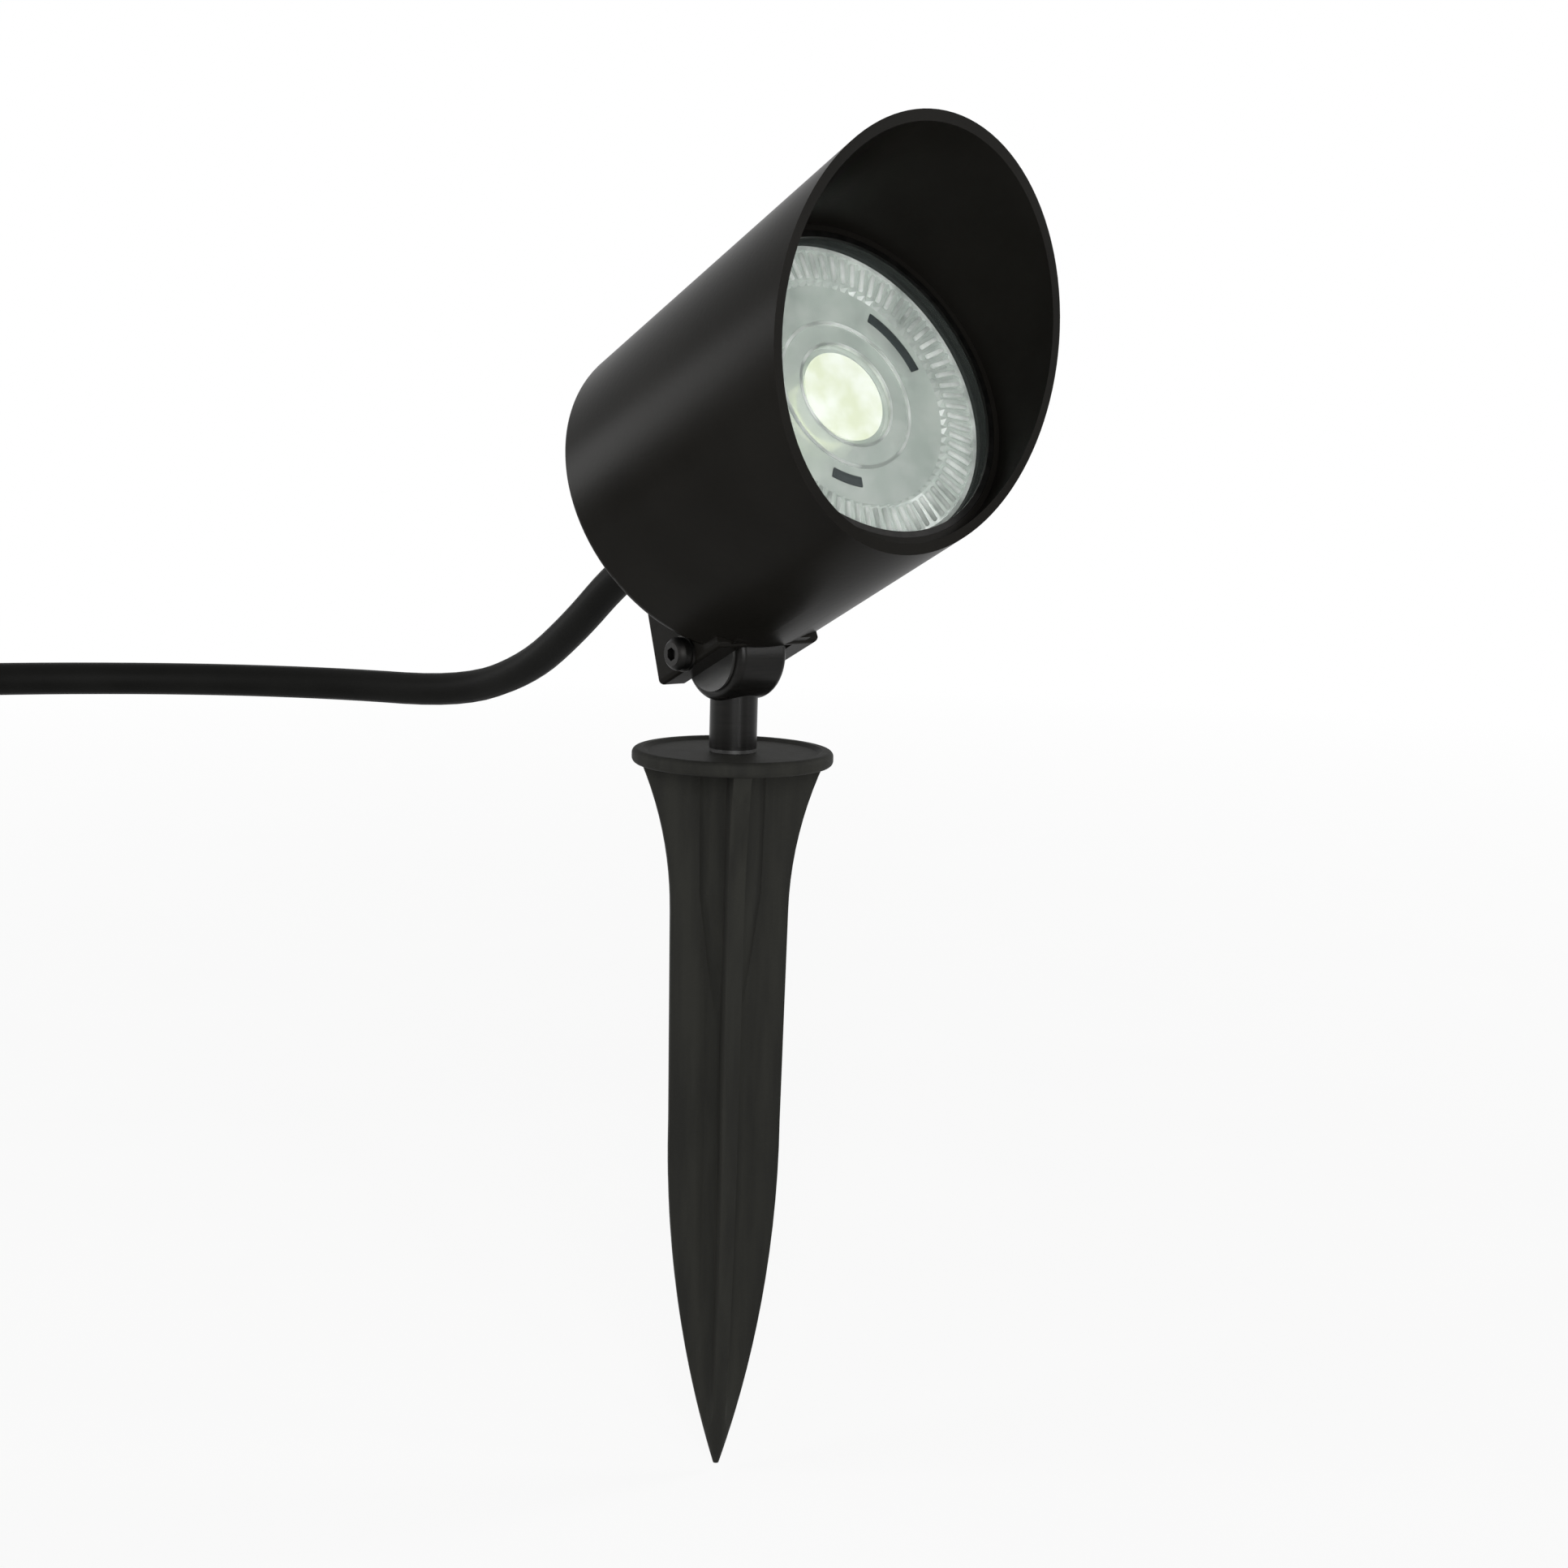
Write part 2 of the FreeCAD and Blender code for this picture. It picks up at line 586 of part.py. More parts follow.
def make_lamp():
    """A 50 mm reflector lamp: ribbed cup, LED board and chip, moulded lens and two pins."""
    cup = body("lamp_cup", beam_frame)
    lip = "lamp_seat + cup_lip"
    floor = f"{lip} - cup_depth"
    waist = "rear_bore - rear_clearance"
    turned(cup, "cup", [
        ("0", "cup_base"), ("cup_base_radius", "cup_base"), ("cup_base_radius", "cup_base + cup_foot"),
        (waist, "lamp_seat - 0.4", "cup_bulge", -1), (waist, "lamp_seat"), ("lamp_radius", "lamp_seat"),
        ("lamp_radius", lip),
        ("board_radius + 0.6", lip), ("board_radius + 0.6", floor), ("0", floor),
    ])
    lens = body("lamp_lens", beam_frame)
    face = LAMP_FACE
    turned(lens, "lens", [
        ("0", lip), ("lamp_radius", lip), ("lamp_radius", f"{face} - 0.4"),
        ("lamp_radius - 0.4", face), ("lamp_radius - prism_band", face),
        ("lamp_radius - prism_band - 1", f"{face} - lens_dish"),
        ("lens_well + 1.2", f"{face} - lens_dish"), ("lens_well", f"{face} - lens_well_depth"),
        ("0", f"{face} - lens_well_depth"),
    ])
    ring("led_board", beam_frame, "0", "board_radius", floor, f"{floor} + board_thickness")
    ring("led_chip", beam_frame, "0", "chip_radius", f"{floor} + board_thickness",
         f"{floor} + board_thickness + chip_height")
    rods("lamp_pins", beam_frame, "pin_spacing", "pin_radius", "cup_base - pin_length", "cup_base")
    holder = body("lamp_holder", beam_frame)
    top = "cup_base - part_gap"
    turned(holder, "block", [
        ("0", f"{top} - holder_length"), ("holder_radius", f"{top} - holder_length"),
        ("holder_radius", top), ("0", top),
    ])
    holes = sketch_on(holder, "XY_Plane", "hole_outline", lift=top, circles=[
        (f"{sign} * pin_spacing / 2", "0", "pin_radius + 2 * part_gap") for sign in (-1, 1)])
    extruded(holder, "holes", holes, "pin_length + 0.3", "Pocket")


# ---- cable gland ---------------------------------------------------------------------------------
def gland_frame(piece):
    return beam_frame(piece, "axis_offset - gland_drop")


GLAND_EXIT = "(back_station - gland_flange - gland_nut_length)"


def make_gland():
    """Gland body in the back wall, with its seal and cap nut, and the lead's end inside it."""
    seat = "back_station - gland_flange"
    nose = f"{seat} - gland_nose_length"
    gland = body("gland_body", gland_frame)
    flange = sketch_on(gland, "XY_Plane", "flange_outline", [hexagon("gland_flats")], lift=seat)
    extruded(gland, "flange", flange, "gland_flange")
    turned(gland, "barrel", [
        ("0", nose), ("gland_nose", nose), ("gland_nose", f"{seat} + 0.5"),
        ("gland_thread", f"{seat} + 0.5"), ("gland_thread", "back_station + back_wall"),
        ("0", "back_station + back_wall"),
    ])
    bore, mouth = "cord_radius + part_gap", "gland_nose - 0.9"
    turned(gland, "bore", [
        ("0", f"{nose} - 1"), (mouth, f"{nose} - 1"), (mouth, f"{nose} + gland_seal_length + part_gap"),
        (bore, f"{nose} + gland_seal_length + part_gap"), (bore, "back_station + back_wall + 1"),
        ("0", "back_station + back_wall + 1"),
    ], "Groove")
    ring("gland_seal", gland_frame, bore, f"{mouth} - part_gap", nose, f"{nose} + gland_seal_length")
    nut = body("gland_nut", gland_frame)
    thread, crown = "gland_nose + part_gap", f"{GLAND_EXIT} + gland_lip"
    turned(nut, "cap", [
        (bore, GLAND_EXIT), ("gland_nut_radius - 1.2", GLAND_EXIT),
        ("gland_nut_radius", f"{GLAND_EXIT} + 1.2", "1.2", -1), ("gland_nut_radius", f"{seat} - part_gap"),
        (thread, f"{seat} - part_gap"), (thread, crown), (bore, crown),
    ])
    flute = sketch_on(nut, "XY_Plane", "flute_outline", lift=f"{seat} + 1",
                      circles=[("gland_nut_radius + 0.6", "0", "0.6 + gland_nut_flute")])
    around(nut, extruded(nut, "flute", flute, "gland_nut_length + 3", "Pocket"), "12")
    sheath = doc.addObject("Part::Cylinder", "cord_end")
    sheath.Label = "cord_end"
    gland_frame(sheath)
    sheath.setExpression("Radius", bound("cord_radius"))
    end = "back_station + back_wall + 0.2"
    sheath.setExpression("Height", bound(f"({end}) - {GLAND_EXIT}"))
    shift = f"(axis_offset - gland_drop) * sin(beam_elevation) - {GLAND_EXIT} * cos(beam_elevation)"
    sheath.setExpression("Placement.Base.y", bound(shift))
    lift = f"(axis_offset - gland_drop) * cos(beam_elevation) + {GLAND_EXIT} * sin(beam_elevation)"
    sheath.setExpression("Placement.Base.z", bound(f"pivot_height + {lift}"))
    rods("cord_cores", gland_frame, "core_wire_spacing", "core_wire_radius", end,
         "cup_base - part_gap - holder_length")


# ---- tilt joint ----------------------------------------------------------------------------------
def make_pivot():
    """Socket-headed bolt with its washers, its threaded insert, and a friction washer each side."""
    bolt = body("pivot_bolt", tilt_frame)
    washer = "-lug_width / 2 - washer_thickness"
    under = f"{washer} - spring_thickness"
    end = f"{SLOT_HALF} + nut_length"
    turned(bolt, "bolt", [
        ("0", f"{under} - bolt_head_height"), ("bolt_head_radius - 0.8", f"{under} - bolt_head_height"),
        ("bolt_head_radius", f"{under} - 0.6", "1.8", -1), ("bolt_head_radius", under),
        ("bolt_radius", under), ("bolt_radius", end), ("0", end),
    ])
    socket = sketch_on(bolt, "XY_Plane", "socket_outline", [hexagon("bolt_socket")],
                       lift=f"{under} - bolt_head_height")
    extruded(bolt, "socket", socket, "bolt_socket_depth", "Pocket", reverse=True)
    ring("pivot_nut", tilt_frame, "bolt_radius + part_gap", "nut_radius", SLOT_HALF, end)
    face, thick = "(knuckle_width / 2 + part_gap)", "friction_thickness"
    pairs = {
        "pivot_washers": ((washer, "washer_radius", "washer_thickness"), (under, "spring_radius", "spring_thickness")),
        "friction_washers": ((f"-{face} - {thick}", "friction_radius", thick), (face, "friction_radius", thick)),
    }
    for label, pair in pairs.items():
        halves = []
        for side, (low, outer, depth) in zip(("first", "second"), pair):
            outside = doc.addObject("Part::Cylinder", f"{label}_{side}_outside")
            hole = doc.addObject("Part::Cylinder", f"{label}_{side}_hole")
            for cylinder, radius in ((outside, outer), (hole, "bolt_radius + bolt_gap")):
                cylinder.setExpression("Radius", bound(radius))
                cylinder.setExpression("Height", bound(depth))
                cylinder.setExpression("Placement.Base.z", bound(low))
            washer_solid = doc.addObject("Part::Cut", f"{label}_{side}")
            washer_solid.Base, washer_solid.Tool = outside, hole
            halves.append(washer_solid)
        made = doc.addObject("Part::Compound", label)
        made.Label = label
        made.Links = halves
        tilt_frame(made)


# ---- lead ----------------------------------------------------------------------------------------
def beam_point(along, rise):
    """A point of the head's middle plane in the part's frame."""
    tilt = math.radians(value("beam_elevation"))
    return V(0, rise * math.sin(tilt) - along * math.cos(tilt),
             value("pivot_height") + rise * math.cos(tilt) + along * math.sin(tilt))


def lead_route():
    """The free stretch: out of the gland, down to the ground, and round to where the coil begins."""
    radius = value("cord_radius")
    rise = value("axis_offset - gland_drop")
    leave = value(GLAND_EXIT)
    coil = V(value("coil_centre_x"), value("coil_centre_y"), value(COIL_HEIGHT))
    onto = coil + V(2 * radius, value("coil_radius"), 0)
    return [
        beam_point(leave, rise), beam_point(leave - 9, rise), V(0, 48, 18.6), V(-0.5, 63, 9.2),
        V(-3.5, 82, radius), V(-17.5, 105, radius), V(-41, 125.5, radius), V(-73, 138.5, radius + 0.2),
        onto + V(18.8, 0, 0), onto,
    ]


def tube_along(label, points, radius):
    """A tube on straight runs joined by tangent arcs, each as large as its two runs allow."""
    edges, at, radii = [], points[0], []
    for before, corner, after in zip(points, points[1:], points[2:]):
        into, out = (corner - before).normalize(), (after - corner).normalize()
        cut = 0.45 * min((corner - before).Length, (after - corner).Length)
        half_turn = into.getAngle(out) / 2
        radii.append(cut / math.tan(half_turn))
        start, end = corner - into * cut, corner + out * cut
        inward = (out - into).normalize()
        middle = corner + inward * (radii[-1] / math.cos(half_turn) - radii[-1])
        edges += [Part.LineSegment(at, start).toShape(), Part.Arc(start, middle, end).toShape()]
        at = end
    edges.append(Part.LineSegment(at, points[-1]).toShape())
    print(label, "arc radii:", ", ".join(f"{r:.0f}" for r in radii), "mm")
    return sweep(label, edges, radius)


def sweep(label, edges, radius):
    path = Part.Wire(edges)
    first = edges[0]
    start, heading = first.valueAt(first.FirstParameter), first.tangentAt(first.FirstParameter)
    section = Part.Wire(Part.makeCircle(radius, start, heading))
    solid = path.makePipeShell([section], True, False)
    expected = math.pi * radius * radius * path.Length
    if abs(solid.Volume - expected) > 0.01 * expected:
        raise RuntimeError(f"{label}: volume {solid.Volume:.0f}, expected {expected:.0f}")
    print(label, f"is {path.Length:.0f} mm long")
    made = doc.addObject("Part::Feature", label)
    made.Label = label
    made.Shape = solid
    return path


# How far in from the outermost turn each half turn ends, in half pitches, and the one that climbs.
TURNS = (1, 2, 3, 4, 5, 3, 2, 1)
CLIMB = 4


def coil_edges():
    """Two layers of turns: in, up a layer in the half turn where the spiral reverses, and out."""
    centre = V(value("coil_centre_x"), value("coil_centre_y"), value(COIL_HEIGHT))
    radius, step, layer = value("coil_radius"), value("coil_pitch") / 2, value("coil_layer")
    at, side = centre + V(0, radius, 0), 1
    edges = [Part.LineSegment(at + V(2 * value("cord_radius"), 0, 0), at).toShape()]
    for turn, steps_in in enumerate(TURNS):
        climbs = turn == CLIMB
        end = V(centre.x, centre.y - side * (radius - steps_in * step), at.z + (layer if climbs else 0))
        span, middle_y = abs(end.y - at.y) / 2, (end.y + at.y) / 2
        if climbs:
            peak = V(at.x - side * math.hypot(span, layer / 2), middle_y, at.z + layer / 2)
            edges += [quarter(at, V(-side, 0, 0), peak), quarter(end, V(-side, 0, 0), peak, True)]
        else:
            edges.append(Part.Arc(at, V(at.x - side * span, middle_y, at.z), end).toShape())
        at, side = end, -side
    last = radius - step / 2
    lean = last * math.sqrt(0.5)
    hub, corner = V(at.x, at.y - last, at.z), V(at.x - last, at.y - last, at.z)
    edges.append(Part.Arc(at, hub + V(-lean, lean, 0), corner).toShape())
    tail = V(corner.x, centre.y - value("tail_length"), corner.z)
    edges.append(Part.LineSegment(corner, tail).toShape())
    return edges


def quarter(start, tangent, end, backwards=False):
    """The arc that leaves start along tangent and reaches end; backwards, it runs from end to start."""
    chord = end - start
    lean = chord.getAngle(tangent)
    radius = chord.Length / (2 * math.sin(lean))
    across = (chord - tangent * chord.dot(tangent)).normalize()
    middle = start + tangent * (radius * math.sin(lean)) + across * (radius * (1 - math.cos(lean)))
    points = (end, middle, start) if backwards else (start, middle, end)
    return Part.Arc(*points).toShape()


def least_gap(path, radius):
    """The least gap from the tube to itself, on points along its path."""
    count = int(path.Length / 1.5)
    points = path.discretize(Number=count)
    apart = int(4 * 2 * radius / 1.5)
    return min((points[i] - points[k]).Length for i in range(count) for k in range(i + apart, count)) - 2 * radius


def make_lead():
    radius = value("cord_radius")
    tube_along("supply_lead", lead_route(), radius)
    coil = sweep("cord_coil", coil_edges(), radius)
    print(f"least gap between turns: {least_gap(coil, radius):.2f} mm")
    tie = body("coil_tie")
    tie.setExpression("Placement.Base.x", bound("coil_centre_x"))
    tie.setExpression("Placement.Base.y", bound("coil_centre_y"))
    gap = "(cord_radius + tie_gap)"
    inner = f"coil_radius - {max(TURNS) / 2} * coil_pitch - {gap} - 0.4"
    outer = f"coil_radius - coil_pitch / 2 + {gap}"
    low, high = "tie_thickness", "tie_thickness + 2 * tie_gap + coil_layer + 2 * cord_radius"
    thick = "tie_thickness"
    loop = sketch_on(tie, "YZ_Plane", "loop_outline", [
        rounded_box(f"-({outer}) - {thick}", f"-({inner}) + {thick}", f"{low} - {thick}", f"{high} + {thick}", "3"),
        rounded_box(f"-({outer})", f"-({inner})", low, high, "2.3"),
    ])
    extruded(tie, "loop", loop, "tie_width", symmetric=True)


def rounded_box(left, right, low, high, corner):
    return [
        (f"{right} - {corner}", low), (right, f"{low} + {corner}", corner, -1),
        (right, f"{high} - {corner}"), (f"{right} - {corner}", high, corner, -1),
        (f"{left} + {corner}", high), (left, f"{high} - {corner}", corner, -1),
        (left, f"{low} + {corner}"), (f"{left} + {corner}", low, corner, -1),
    ]


# ---- supply connector ----------------------------------------------------------------------------
NOSE_FOOT = "(grommet_length + back_nut_length + grip_length)"


def make_connector():
    """Low-voltage two-pole plug: grommet, back nut, fluted grip with a threaded nose, insert, pins."""
    grommet = body("connector_grommet", connector_frame)
    turned(grommet, "cone", [
        ("0", "0"), ("grommet_mouth", "0"), ("grommet_radius", "grommet_length * 0.8"),
        ("grommet_radius", "grommet_length"), ("0", "grommet_length"),
    ])
    nut = body("connector_back_nut", connector_frame)
    turned(nut, "nut", [
        ("0", "grommet_length"), ("back_nut_radius - 1.5", "grommet_length"),
        ("back_nut_radius", "grommet_length + 1.5"),
        ("back_nut_radius", "grommet_length + back_nut_length"), ("0", "grommet_length + back_nut_length"),
    ])
    shell = body("connector_shell", connector_frame)
    foot = "grommet_length + back_nut_length"
    tip = f"{NOSE_FOOT} + nose_length"
    turned(shell, "shell", [
        ("0", foot), ("grip_radius - 0.8", foot), ("grip_radius", f"{foot} + 0.8"),
        ("grip_radius", f"{NOSE_FOOT} - 0.8"), ("grip_radius - 0.8", NOSE_FOOT), ("nose_radius", NOSE_FOOT),
        ("nose_radius", tip), ("0", tip),
    ])
    depth = "(insert_recess + insert_length)"
    turned(shell, "bore", [
        ("0", f"{tip} - {depth}"), ("nose_bore", f"{tip} - {depth}"), ("nose_bore", f"{tip} + 1"),
        ("0", f"{tip} + 1"),
    ], "Groove")
    flute = sketch_on(shell, "XY_Plane", "flute_outline", lift=f"{NOSE_FOOT} + 0.5",
                      circles=[("grip_radius + 1", "0", "1 + grip_flute")])
    around(shell, extruded(shell, "flute", flute, "grip_length + 1", "Pocket"), "grip_count")
    face = f"{tip} - insert_recess"
    insert = body("connector_insert", connector_frame)
    turned(insert, "insert", [
        ("0", f"{face} - insert_length"), ("nose_bore - part_gap", f"{face} - insert_length"),
        ("nose_bore - part_gap", face), ("0", face),
    ])
    rods("connector_contacts", connector_frame, "contact_spacing", "contact_radius", face,
         f"{face} + contact_length")


make_spike()
make_stem()
make_stem_fittings()
make_housing()
make_front()
make_lamp()
make_gland()
make_pivot()
make_lead()
make_connector()
doc.recompute()

# ---- checks and export ---------------------------------------------------------------------------
NODES = [
    "spike", "thrust_washer",
    "stem", "stem_friction_ring", "stem_snap_ring",
    "housing", "front_glass", "lamp_seal", "glass_keeper", "lamp_cup", "lamp_lens", "led_board", "led_chip",
    "lamp_pins", "lamp_holder", "gland_body", "gland_seal", "gland_nut", "cord_end", "cord_cores",
    "pivot_bolt", "pivot_nut", "pivot_washers", "friction_washers",
    "supply_lead", "cord_coil", "coil_tie", "connector_grommet", "connector_back_nut", "connector_shell",
    "connector_insert", "connector_contacts",
]
for made in doc.Objects:
    if "Invalid" in made.State or "Error" in made.State:
        raise RuntimeError(f"{made.Label} failed: {made.State}")
    if made.TypeId in ("PartDesign::Pocket", "PartDesign::Groove"):
        if made.Shape.Volume > made.BaseFeature.Shape.Volume - 0.01:
            raise RuntimeError(f"{made.Label} cuts nothing")
os.makedirs("parts", exist_ok=True)
for label in NODES:
    shape = doc.getObjectsByLabel(label)[0].Shape
    if shape.isNull() or not shape.isValid() or shape.Volume <= 0:
        raise RuntimeError(f"{label}: its shape is null or not valid")
    shape.exportStep(f"parts/{label}.step")
    box = shape.BoundBox
    print(f"{label}: {len(shape.Solids)} solid(s), {shape.Volume / 1000:.2f} cm3, z {box.ZMin:.2f} to {box.ZMax:.2f}")
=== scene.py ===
# Garden spike spotlight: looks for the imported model, in metres, in the model's own frame.
import math

import bpy
from mathutils import Matrix, Vector


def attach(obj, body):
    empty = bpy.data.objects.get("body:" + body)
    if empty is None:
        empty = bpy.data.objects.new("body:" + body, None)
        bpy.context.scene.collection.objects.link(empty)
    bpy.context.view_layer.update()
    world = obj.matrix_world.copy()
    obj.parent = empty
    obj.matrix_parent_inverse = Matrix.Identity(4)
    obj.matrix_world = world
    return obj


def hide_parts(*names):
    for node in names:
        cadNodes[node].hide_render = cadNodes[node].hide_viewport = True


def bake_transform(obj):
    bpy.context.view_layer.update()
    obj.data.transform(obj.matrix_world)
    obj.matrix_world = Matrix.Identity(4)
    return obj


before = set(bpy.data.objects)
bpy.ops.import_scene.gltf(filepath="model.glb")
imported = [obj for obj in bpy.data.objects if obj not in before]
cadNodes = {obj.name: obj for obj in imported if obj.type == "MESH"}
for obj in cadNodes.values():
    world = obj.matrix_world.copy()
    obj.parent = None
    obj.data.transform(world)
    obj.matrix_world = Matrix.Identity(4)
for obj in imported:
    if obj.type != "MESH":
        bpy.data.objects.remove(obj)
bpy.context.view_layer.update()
mm = 0.001

aim = {
    "beamElevation": math.radians(26.7),
    "pivotHeight": 18.9,  # tilt axis above the ground
    "axisOffset": 25.9,  # tube's axis above the tilt axis
}


def beamMatrix(rise):  # Z along the beam from the tilt axis, Y up square to it
    turn = Matrix.Rotation(math.pi / 2 - aim["beamElevation"], 4, "X")
    lift = Vector((0, rise * math.sin(aim["beamElevation"]), rise * math.cos(aim["beamElevation"])))
    return Matrix.Translation((lift + Vector((0, 0, aim["pivotHeight"]))) * mm) @ turn @ Matrix.Scale(mm, 4)


def inBeam(point, rise):  # a point given in millimetres along the beam, in metres in the model's frame
    return beamMatrix(rise) @ Vector(point)


def deselectAll():
    if bpy.context.object and bpy.context.object.mode != "OBJECT":
        bpy.ops.object.mode_set(mode="OBJECT")
    bpy.ops.object.select_all(action="DESELECT")


# camera
camera = {
    "yaw": math.radians(-38.97),
    "pitch": math.radians(9.077),
    "roll": math.radians(1.577),
    "place": (-236.0, -305.65, 58.37),  # millimetres
    "lens": 53.44,
    "sensor": 36.0,
    "clip": (0.01, 20),  # metres
}


def setCamera():
    yaw, pitch, roll = camera["yaw"], camera["pitch"], camera["roll"]
    back = Vector((math.sin(yaw) * math.cos(pitch), -math.cos(yaw) * math.cos(pitch), math.sin(pitch)))
    level = Vector((math.cos(yaw), math.sin(yaw), 0))
    upright = back.cross(level)
    right = level * math.cos(roll) + upright * math.sin(roll)
    up = upright * math.cos(roll) - level * math.sin(roll)
    deselectAll()
    bpy.ops.object.camera_add()
    shot = bpy.context.object
    shot.name = "photoCamera"
    turn = Matrix((right, up, back)).transposed().to_4x4()
    shot.matrix_world = Matrix.Translation(Vector(camera["place"]) * mm) @ turn
    shot.data.sensor_width = camera["sensor"]
    shot.data.lens = camera["lens"]
    shot.data.clip_start, shot.data.clip_end = camera["clip"]
    bpy.context.scene.camera = shot
    print("camera set")


setCamera()

# materials


def hexColour(code):  # sRGB hex to linear RGBA
    parts = [int(code[i : i + 2], 16) / 255 for i in (1, 3, 5)]
    return tuple(c / 12.92 if c <= 0.04045 else ((c + 0.055) / 1.055) ** 2.4 for c in parts) + (1.0,)


def addNode(tree, kind, inputs=None, **settings):  # inputs take a value, or a socket to link from
    node = tree.nodes.new(kind)
    for name, setting in settings.items():
        setattr(node, name, setting)
    for name, given in (inputs or {}).items():
        socket = node.inputs[name]
        if isinstance(given, bpy.types.NodeSocket):
            tree.links.new(given, socket)
        else:
            socket.default_value = given
    return node


def startMaterial(name, **shaderInputs):
    material = bpy.data.materials.new(name)
    material.use_nodes = True
    tree = material.node_tree
    shader = tree.nodes["Principled BSDF"]
    for socket, given in shaderInputs.items():
        shader.inputs[socket.replace("_", " ")].default_value = given
    return material, tree, shader


def objectPoint(tree, stretch=(1, 1, 1)):  # Object coordinates, for patterns in real sizes
    place = addNode(tree, "ShaderNodeTexCoord")
    mapping = addNode(tree, "ShaderNodeMapping", {"Vector": place.outputs["Object"], "Scale": stretch})
    return mapping.outputs["Vector"]


def perMetre(size):  # texture scale for a grain of that many millimetres
    return 1 / (size * mm)


def seenDirectly(tree):  # 1 on rays that show the backdrop: camera, glossy and transmission
    path = addNode(tree, "ShaderNodeLightPath")
    seen = path.outputs["Is Camera Ray"]
    for ray in ("Is Glossy Ray", "Is Transmission Ray"):
        either = addNode(tree, "ShaderNodeMath", {0: seen, 1: path.outputs[ray]}, operation="MAXIMUM")
        seen = either.outputs[0]
    return seen


def grainBump(tree, shader, point, grain, height):  # grain and height in millimetres
    grains = addNode(tree, "ShaderNodeTexNoise", {"Vector": point, "Scale": perMetre(grain), "Detail": 3.0})
    bump = addNode(tree, "ShaderNodeBump", {
        "Strength": 1.0, "Distance": height * mm, "Height": grains.outputs["Fac"]})
    tree.links.new(bump.outputs["Normal"], shader.inputs["Normal"])


def colourDrift(tree, shader, point, patch, dark, light, socket="Base Color"):  # patch in millimetres
    patches = addNode(tree, "ShaderNodeTexNoise", {"Vector": point, "Scale": perMetre(patch), "Detail": 4.0})
    ramp = addNode(tree, "ShaderNodeValToRGB", {"Fac": patches.outputs["Fac"]})
    for stop, place, code in zip(ramp.color_ramp.elements, (0.35, 0.65), (dark, light)):
        stop.position = place
        stop.color = hexColour(code)
    tree.links.new(ramp.outputs["Color"], shader.inputs[socket])
    return patches


def roughDrift(tree, shader, fac, low, high):
    spread = addNode(tree, "ShaderNodeMapRange", {"Value": fac, "To Min": low, "To Max": high})
    tree.links.new(spread.outputs["Result"], shader.inputs["Roughness"])


def makePlain(name, dark, light, patch, rough, grain, height, **shaderInputs):
    # a finish of one colour: it drifts a little in patches, over a fine grain
    material, tree, shader = startMaterial(name, **shaderInputs)
    point = objectPoint(tree)
    drift = colourDrift(tree, shader, point, patch, dark, light)
    roughDrift(tree, shader, drift.outputs["Fac"], *rough)
    grainBump(tree, shader, point, grain, height)
    return material


def makePaintedSteel():
    # turned steel under a thin smooth paint, so its highlight is narrower than the casting's
    material, tree, shader = startMaterial("paintedTurnedSteel", Specular_IOR_Level=0.12)
    point = objectPoint(tree, (1, 1, 14))  # lathe lines run round the stem
    drift = colourDrift(tree, shader, point, 6.0, "#0d0d0c", "#131211")
    roughDrift(tree, shader, drift.outputs["Fac"], 0.26, 0.34)
    grainBump(tree, shader, point, 2.5, 0.006)
    return material


def makeSpikeNylon():
    # moulded glass-filled nylon: matte dark grey, with faint flow marks down the fins
    material, tree, shader = startMaterial("mouldedGlassFilledNylon", Specular_IOR_Level=0.03)
    point = objectPoint(tree)
    flow = objectPoint(tree, (1, 1, 0.12))
    drift = colourDrift(tree, shader, flow, 3.0, "#222220", "#292926")
    roughDrift(tree, shader, drift.outputs["Fac"], 0.5, 0.64)
    grainBump(tree, shader, point, 0.6, 0.02)
    return material


def makeSlotShade():
    # painted shade: the bowl's openings, dark blue-grey as seen through the lens
    material, tree, shader = startMaterial("shadedBowlOpening", Specular_IOR_Level=0.2)
    point = objectPoint(tree)
    drift = colourDrift(tree, shader, point, 2.0, "#1d2328", "#2a3035")
    roughDrift(tree, shader, drift.outputs["Fac"], 0.5, 0.7)
    return material


def makeGlass():
    # toughened soda-lime glass: mostly let through by its alpha, so that the lamp behind it is lit
    material, tree, shader = startMaterial("toughenedClearGlass", IOR=1.52, Alpha=0.14, Roughness=0.02)
    point = objectPoint(tree)
    colourDrift(tree, shader, point, 40.0, "#5c6460", "#68706c")
    return material


def makeAcrylic():
    # injection-moulded clear acrylic: its fine prisms scatter, so it looks milky with soft glints; its faint
    # emission is a painted glow that brightens the whole lens
    material, tree, shader = startMaterial(
        "mouldedClearAcrylic", IOR=1.49, Transmission_Weight=0.65, Roughness=0.1,
        Emission_Color=hexColour("#e8efeb"), Emission_Strength=0.12)
    point = objectPoint(tree)
    colourDrift(tree, shader, point, 5.0, "#ccd5cf", "#eef3ee")
    return material


def makeAcrylicPaintedHighlight():
    # painted highlights on the lens's rim, rings and prism crests: white patches over darker ones, with a
    # painted glow from its emission
    material, tree, shader = startMaterial(
        "clearAcrylicPaintedHighlight", IOR=1.49, Roughness=0.2,
        Emission_Color=hexColour("#eef5f0"), Emission_Strength=0.14)
    point = objectPoint(tree)
    colourDrift(tree, shader, point, 7.0, "#7d867f", "#f2f7f3")
    return material


def makeCollimatorPaintedGlow():
    # clear collimator over the phosphor: greenish white, with a painted glow from its emission that brightens
    # it
    material, tree, shader = startMaterial("collimatorPaintedGlow", Roughness=0.3, Emission_Strength=0.6)
    point = objectPoint(tree)
    colourDrift(tree, shader, point, 5.0, "#d8e0c4", "#eef4e8")
    colourDrift(tree, shader, point, 5.0, "#e6eed0", "#f8fdf4", "Emission Color")
    return material


